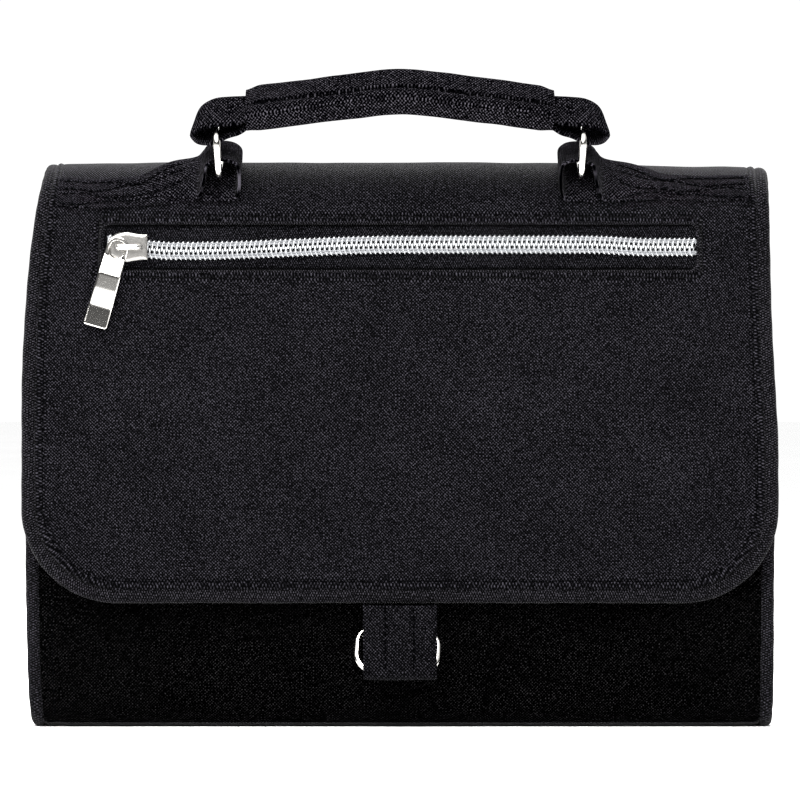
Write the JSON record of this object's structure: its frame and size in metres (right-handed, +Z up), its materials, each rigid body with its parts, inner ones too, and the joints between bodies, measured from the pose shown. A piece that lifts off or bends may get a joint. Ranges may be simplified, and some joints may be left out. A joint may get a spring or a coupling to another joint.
{
  "type": "toiletry bag",
  "caption": "Boxy fabric toiletry bag with a fold-over flap, a zipped pocket in the flap, a padded carrying handle on wire rings and a strap closure through a wire ring.",
  "frame": {"origin": "centre of the flat base the bag stands on", "axes": "+Z up, -Y towards the flap and its zip (the front), +X to the right as seen from the front"},
  "size_m": [0.24, 0.1041, 0.2092],
  "materials": {
    "twill": "black polyester twill with a fine diagonal weave",
    "welt_fabric": "black twill cut on the bias round a cord",
    "lining_fabric": "black plain-weave lining",
    "board": "stiff sheet",
    "webbing": "black narrow-woven webbing",
    "grip_fabric": "black twill sleeve with stitched seam",
    "filler": "soft foam strip",
    "zip_tape": "black knitted tape",
    "zip_coil": "silver metallised coil",
    "nickel": "bright nickel plate",
    "hook_fastener": "black moulded hooks",
    "loop_fastener": "black brushed loops",
    "mesh": "black open net",
    "mesh_binding": "black elastic binding"
  },
  "bodies": {
    "bag": {"body_shell": "twill", "gusset_left": "twill", "gusset_right": "twill", "body_welt_left": "welt_fabric", "body_welt_right": "welt_fabric", "lining": "lining_fabric", "base_board": "board", "mouth_binding": "welt_fabric", "ring_anchor": "webbing"},
    "crown": {"crown_outer": "twill", "crown_backing": "lining_fabric", "crown_welt_left": "welt_fabric", "crown_welt_right": "welt_fabric", "handle_tab_left": "webbing", "handle_tab_right": "webbing"},
    "flap": {"flap_outer": "twill", "flap_backing": "lining_fabric", "flap_welt": "welt_fabric", "zip_tape_upper": "zip_tape", "zip_tape_lower": "zip_tape", "zip_coil_upper": "zip_coil", "zip_coil_lower": "zip_coil", "closure_strap": "webbing", "strap_loop_patch": "loop_fastener", "mesh_pocket": "mesh", "mesh_edge": "mesh_binding"},
    "strap_end": {"strap_tail": "webbing", "strap_hook_patch": "hook_fastener"},
    "slider": {"zip_slider": "nickel"},
    "puller": {"zip_puller": "nickel"},
    "ring_left": {"handle_ring_left": "nickel"},
    "ring_right": {"handle_ring_right": "nickel"},
    "handle": {"handle_strap": "webbing", "grip_sleeve": "grip_fabric", "grip_padding": "filler"},
    "closure_ring": {"closure_ring": "nickel"}
  },
  "joints": [
    {"name": "flap_hinge", "type": "hinge", "parent": "bag", "child": "crown", "pos_m": [0, 0.0393, 0.15815], "axis": [-1, 0, 0], "range_deg": [0, 180], "deforming": ["closure_strap"]},
    {"name": "flap_fold", "type": "hinge", "parent": "crown", "child": "flap", "pos_m": [0, -0.0489, 0.162], "axis": [-1, 0, 0], "range_deg": [0, 90], "deforming": ["closure_strap"]},
    {"name": "strap_peel", "type": "hinge", "parent": "flap", "child": "strap_end", "pos_m": [0, -0.051, 0.0186], "axis": [1, 0, 0], "range_deg": [0, 120]},
    {"name": "zip_slide", "type": "slide", "parent": "flap", "child": "slider", "axis": [1, 0, 0], "range_m": [0, 0.172], "deforming": ["zip_coil_upper", "zip_coil_lower"]},
    {"name": "puller_swing", "type": "hinge", "parent": "slider", "child": "puller", "pos_m": [-0.0898, -0.05125, 0.1528], "axis": [0, -1, 0], "range_deg": [-70, 60]},
    {"name": "ring_left_swing", "type": "hinge", "parent": "crown", "child": "ring_left", "pos_m": [-0.0575, -0.04405, 0.17969], "axis": [0, 0.9397, 0.342], "range_deg": [-35, 35]},
    {"name": "ring_right_swing", "type": "hinge", "parent": "crown", "child": "ring_right", "pos_m": [0.0575, -0.04405, 0.17969], "axis": [0, 0.9397, 0.342], "range_deg": [-35, 35]},
    {"name": "handle_pivot", "type": "hinge", "parent": "ring_left", "child": "handle", "pos_m": [-0.0575, -0.04894, 0.19312], "axis": [0, 0.9397, 0.342], "range_deg": [-35, 35]},
    {"name": "closure_ring_swing", "type": "hinge", "parent": "bag", "child": "closure_ring", "pos_m": [0, -0.0419, 0.0315], "axis": [1, 0, 0], "range_deg": [0, 24], "deforming": ["closure_strap"]}
  ],
  "couplings": [
    {"joint": "ring_right_swing", "follows": "ring_left_swing", "ratio": 1},
    {"joint": "handle_pivot", "follows": "ring_left_swing", "ratio": -1}
  ]
}
